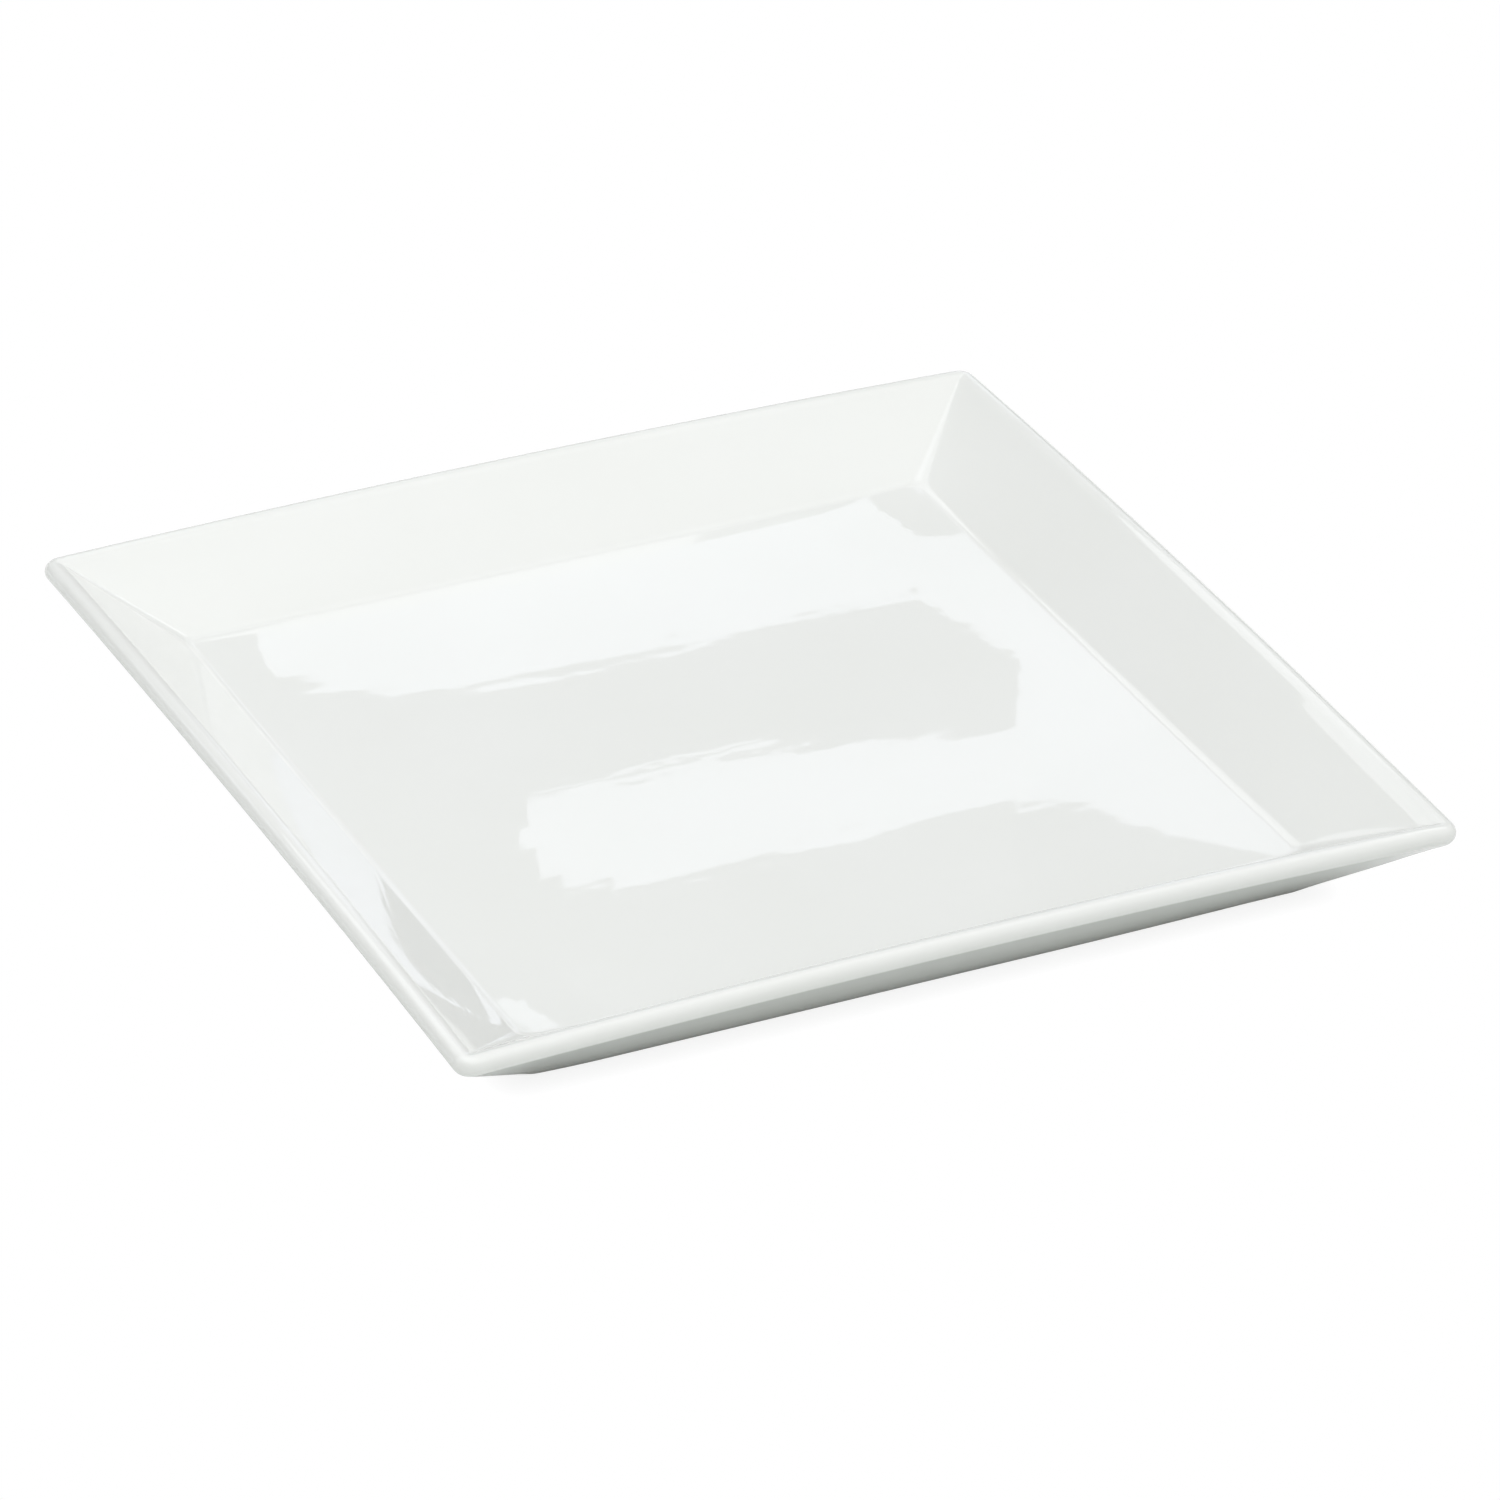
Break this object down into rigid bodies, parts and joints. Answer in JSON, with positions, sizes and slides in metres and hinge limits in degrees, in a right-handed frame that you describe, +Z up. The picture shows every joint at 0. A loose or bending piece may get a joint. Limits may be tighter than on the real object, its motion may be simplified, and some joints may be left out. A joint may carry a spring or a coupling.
{
  "type": "square serving platter",
  "caption": "Shallow square serving platter in gloss-glazed white porcelain: flat well, sloping rim facets mitred at the corners, rolled lip and a bare foot to stand on.",
  "frame": {"origin": "on the resting plane of the foot, under the middle of the platter", "axes": "+Z up out of the well; +X and +Y square to two neighbouring sides, with -Y the side nearest the viewer in the picture"},
  "size_m": [0.3, 0.3, 0.0317],
  "materials": {
    "bare_porcelain": "unglazed, fine matt",
    "gloss_glaze": "high gloss white glaze",
    "recess_glaze": "gloss white glaze, a little duller than the face"
  },
  "bodies": {
    "root": {"porcelain_body": "bare_porcelain", "face_glaze": "gloss_glaze", "recess_glaze": "recess_glaze"}
  },
  "joints": []
}
